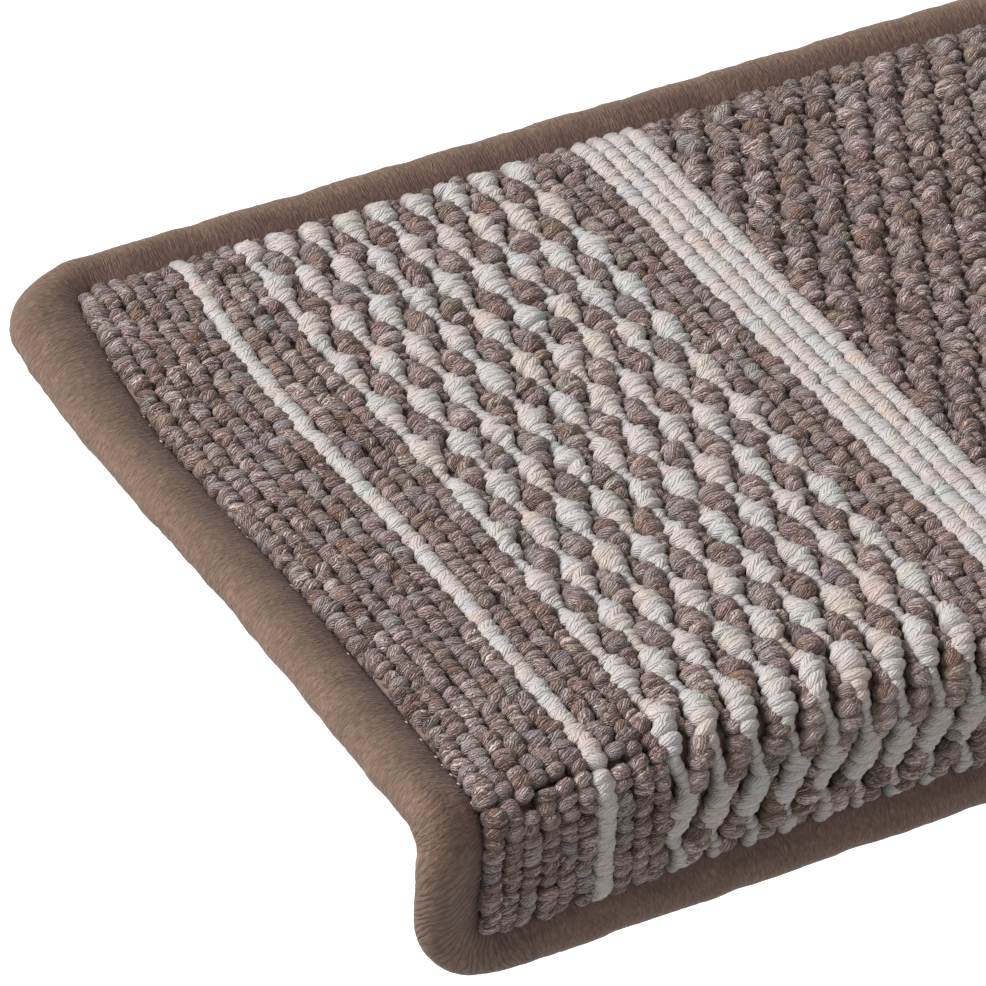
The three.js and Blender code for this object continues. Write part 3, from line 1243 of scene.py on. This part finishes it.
            vert.co = bent[column % count, line % size]
            vert[layer] = float(crease[column % count])
        for face in form.faces:
            for loop in face.loops:
                column, line = columns[loop.vert.index], lines[loop.vert.index]
                over = wound[column % count][line]
                lean = fan[column % count] * min(over, self.fan_reach) ** 2
                loop[uv].uv = (along[column] + lean, over)
        bmesh.ops.remove_doubles(form, verts=form.verts, dist=1e-7)
        bmesh.ops.recalc_face_normals(form, faces=form.faces)
        return mesh_of(self.name, form)

    def outward(self, section: np.ndarray) -> np.ndarray:
        """Which way is out of the roll.

        Args:
            section: a section's places.

        Returns:
            A direction of length 1 for each of them.
        """
        middle = np.array([self.roll_depth + 1.5, 3.0])
        away = section - middle
        return away / np.linalg.norm(away, axis=1)[:, None]


@dataclass
class StitchLines(Piece):
    """Small stitches that hold the binding, where its inner edge meets the pile on both sides.

    Args:
        chance: the source of the stitches' small differences.
        share: how many of the stitches show.
        nose: where the pile opens up, over what reach, and how much higher the stitches lie there.
    """

    chance: np.random.Generator
    pitch: float = 3.5
    share: float = 0.55
    width: float = 0.42
    length: float = 1.2
    thickness: float = 0.4
    height: float = 4.75
    slant: float = 0.3
    nose: Triple = (222, 22, 0.75)

    def build(self) -> bpy.types.Mesh:
        """One short thread for every stitch that shows.

        Returns:
            The threads as one mesh.
        """
        form = bmesh.new()
        places = LAYOUT.crest_walk(LAYOUT.pile_start + 12, LAYOUT.pile_end - 12, self.pitch, 6.0)
        nose, reach, rise = self.nose
        for side in (-1, 1):
            for s in places[self.chance.random(places.size) < self.share]:
                near_nose = math.exp(-(((s - nose) / reach) ** 2))
                x = side * (LAYOUT.pile_half_width + 0.5)
                h = self.height + rise * near_nose + self.chance.normal(0, 0.16)
                size = (self.width, self.length + self.chance.normal(0, 0.25), self.thickness)
                made = bmesh.ops.create_uvsphere(form, u_segments=6, v_segments=5, radius=0.5)
                bmesh.ops.scale(form, verts=made["verts"], vec=size)
                turn = side * self.slant + self.chance.normal(0, 0.12)
                bmesh.ops.rotate(form, verts=made["verts"], matrix=Euler((0, 0, turn)).to_matrix())
                bmesh.ops.translate(form, verts=made["verts"], vec=(x, float(s), h))
        bend_form(form)
        return mesh_of(self.name, form)


@dataclass
class CarriedParts:
    """The CAD nodes that stay shown, each with its own finish."""

    finishes: dict[str, PlainFinish]

    def dress(self, nodes: dict[str, bpy.types.Object]) -> None:
        """Gives every node its material.

        Args:
            nodes: the frame's nodes by name.
        """
        made: dict[str, bpy.types.Material] = {}
        for name, finish in self.finishes.items():
            if finish.name not in made:
                made[finish.name] = finish.material()
            nodes[name].data.materials.clear()
            nodes[name].data.materials.append(made[finish.name])
            LOG.info("%s: CAD shape, %s", name, finish.name)


@dataclass
class PilePattern:
    """The order of the mat's rows from each side in, and the objects that they go into."""

    seed: int = 11
    edge_rows: int = 6
    spacer_rows: int = 3
    light_bubble_rows: int = 9
    band_rows: int = 4

    def order(self) -> list[RowKind]:
        """The kinds of a side's rows.

        Returns:
            A kind for each row, from the binding to the middle field.
        """
        bubbles = [RowKind.LIGHT_BUBBLES, RowKind.DARK_BUBBLES] * self.light_bubble_rows
        return [
            *[RowKind.PLAIN] * self.edge_rows,
            RowKind.STRIPE,
            *[RowKind.PLAIN] * self.spacer_rows,
            *bubbles[:-1],
            *[RowKind.PLAIN] * self.spacer_rows,
            *[RowKind.STRIPE] * self.band_rows,
        ]

    def sides(self) -> list[LoopPile]:
        """The pile of both sides.

        Returns:
            An object for each kind of row on each side.
        """
        pieces = []
        for side in ("left", "right"):
            chance = np.random.default_rng(self.seed + len(side))
            maker = RowMaker(chance)
            rows: dict[RowKind, list[LoopRow]] = {kind: [] for kind in RowKind}
            for number, kind in enumerate(self.order()):
                row = number if side == "left" else LAYOUT.row_count - 1 - number
                rows[kind].append(maker.made(row, kind))
            for kind in RowKind:
                name, yarn, grade, nodes = kind.value
                replaced = tuple(f"{side}_{node}" for node in nodes)
                loops = LoopPile(f"{side}_{name}_loops", yarn.value, replaced, rows[kind], grade, chance)
                pieces.append(loops)
        return pieces

    def middle(self) -> list[LoopPile]:
        """The wide field in the middle.

        Returns:
            Its two halves as an object each.
        """
        first = len(self.order())
        chance = np.random.default_rng(self.seed)
        maker = RowMaker(chance)
        numbers = range(first, LAYOUT.row_count - first)
        rows = [maker.bubbles(row, DARK_BUBBLE, (row - first) % 2 == 1) for row in numbers]
        half = len(rows) // 2
        return [
            LoopPile(name, Yarn.BROWN.value, ("middle_rows",), part, Grade.COARSE, chance)
            for name, part in (("middle_left_loops", rows[:half]), ("middle_right_loops", rows[half:]))
        ]


# Stage


@dataclass(frozen=True)
class Lamp:
    """A square area light: its name, place and side in metres, and power in watts."""

    name: str
    place: Triple
    size: float
    power: float


KEY = Lamp("key", (-5.0, 1.75, 4.0), 2.4, 510.0)
FILL = Lamp("fill", (0.9, -2.2, 1.6), 2.4, 5.0)


@dataclass
class Stage:
    """Camera, soft lights and the pale floor a step below the mat."""

    floor_height: float = -0.19
    floor_glow: float = 0.8
    ambient: float = 0.34
    camera_place: Triple = (-0.85538, -1.05214, 0.94138)
    camera_turn: Triple = (53.0953, -0.687, -28.5093)
    lens: float = 244.13
    sensor: float = 36.0
    aim: Triple = (-0.1, 0.0, 0.0)

    def camera(self) -> None:
        """The camera at the photograph's viewpoint."""
        data = bpy.data.cameras.new("camera")
        data.lens = self.lens
        data.sensor_width = self.sensor
        data.clip_end = 50.0
        made = bpy.data.objects.new("camera", data)
        made.location = self.camera_place
        made.rotation_euler = Euler(tuple(math.radians(a) for a in self.camera_turn))
        bpy.context.scene.collection.objects.link(made)
        bpy.context.scene.camera = made

    def light(self, lamp: Lamp) -> None:
        """Adds a lamp that faces the mat.

        Args:
            lamp: the lamp.
        """
        data = bpy.data.lights.new(lamp.name, "AREA")
        data.size = lamp.size
        data.energy = lamp.power
        made = bpy.data.objects.new(lamp.name, data)
        made.location = lamp.place
        towards = Vector(self.aim) - Vector(lamp.place)
        made.rotation_euler = towards.to_track_quat("-Z", "Y").to_euler()
        bpy.context.scene.collection.objects.link(made)

    def world(self) -> None:
        """Even white light all round, and a white backdrop."""
        world = bpy.data.worlds.new("world")
        world.use_nodes = True
        bpy.context.scene.world = world
        tree = NodeTree(world)
        lit = world.node_tree.nodes["Background"]
        tree.feed(lit.inputs["Strength"], self.ambient)
        tree.feed(lit.inputs["Color"], WHITE)
        backdrop = tree.add("ShaderNodeBackground", {"Color": WHITE, "Strength": 1.0}).outputs[0]
        inputs = {0: tree.seen_outright(), 1: lit.outputs[0], 2: backdrop}
        output = world.node_tree.nodes["World Output"].inputs[0]
        tree.feed(output, tree.add("ShaderNodeMixShader", inputs).outputs[0])

    def floor(self) -> None:
        """A pale floor that reads as white where the camera sees it and still takes the shadow."""
        form = bmesh.new()
        bmesh.ops.create_grid(form, x_segments=2, y_segments=2, size=6.0)
        bmesh.ops.translate(form, verts=form.verts, vec=(0, 0, self.floor_height))
        made = object_from("floor", mesh_of("floor", form))
        tree = NodeTree.blank("floor")
        place = tree.add("ShaderNodeTexCoord").outputs["Object"]
        grain = tree.mix(tree.noise(place, 3.0, 2.0), srgb(178, 178, 178), srgb(186, 186, 186))
        glow = tree.times(tree.seen_outright(), self.floor_glow)
        finish = tree.settle(
            base_color=grain, emission_strength=glow, emission_color=WHITE, roughness=0.9
        )
        made.data.materials.append(finish)

    def build(self) -> None:
        """Everything that isn't the mat."""
        self.camera()
        self.light(KEY)
        self.light(FILL)
        self.world()
        self.floor()
        bpy.context.scene.view_settings.view_transform = "Standard"
        LOG.info("stage: camera, two lights, floor")


def main() -> None:
    """Builds the stage and the pieces in order."""
    logging.basicConfig(level=logging.INFO, format="%(message)s")
    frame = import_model()
    Stage().build()
    brown, light = BROWN_PILE.material(), LIGHT_PILE.material()
    pattern = PilePattern()
    for pile in [*pattern.sides(), *pattern.middle()]:
        pile.dress(light if pile.slot == Yarn.LIGHT.value else brown)
    PileGround("pile_ground", Yarn.BROWN.value, ()).dress(GROUND.material())
    binding = EdgeBinding("edge_binding_yarn", "binding_yarn", ("edge_binding",), np.random.default_rng(5))
    binding.dress(BINDING.material())
    stitches = StitchLines("binding_stitches", "binding_yarn", (), np.random.default_rng(7))
    stitches.dress(STITCH.material())
    finishes = {
        "backing": FELT,
        "nosing_angle": ANGLE,
        "front_anti_slip_strip": GRIP,
        "rear_anti_slip_strip": GRIP,
    }
    CarriedParts(finishes).dress(frame["nodes"])


if __name__ == "__main__":
    main()
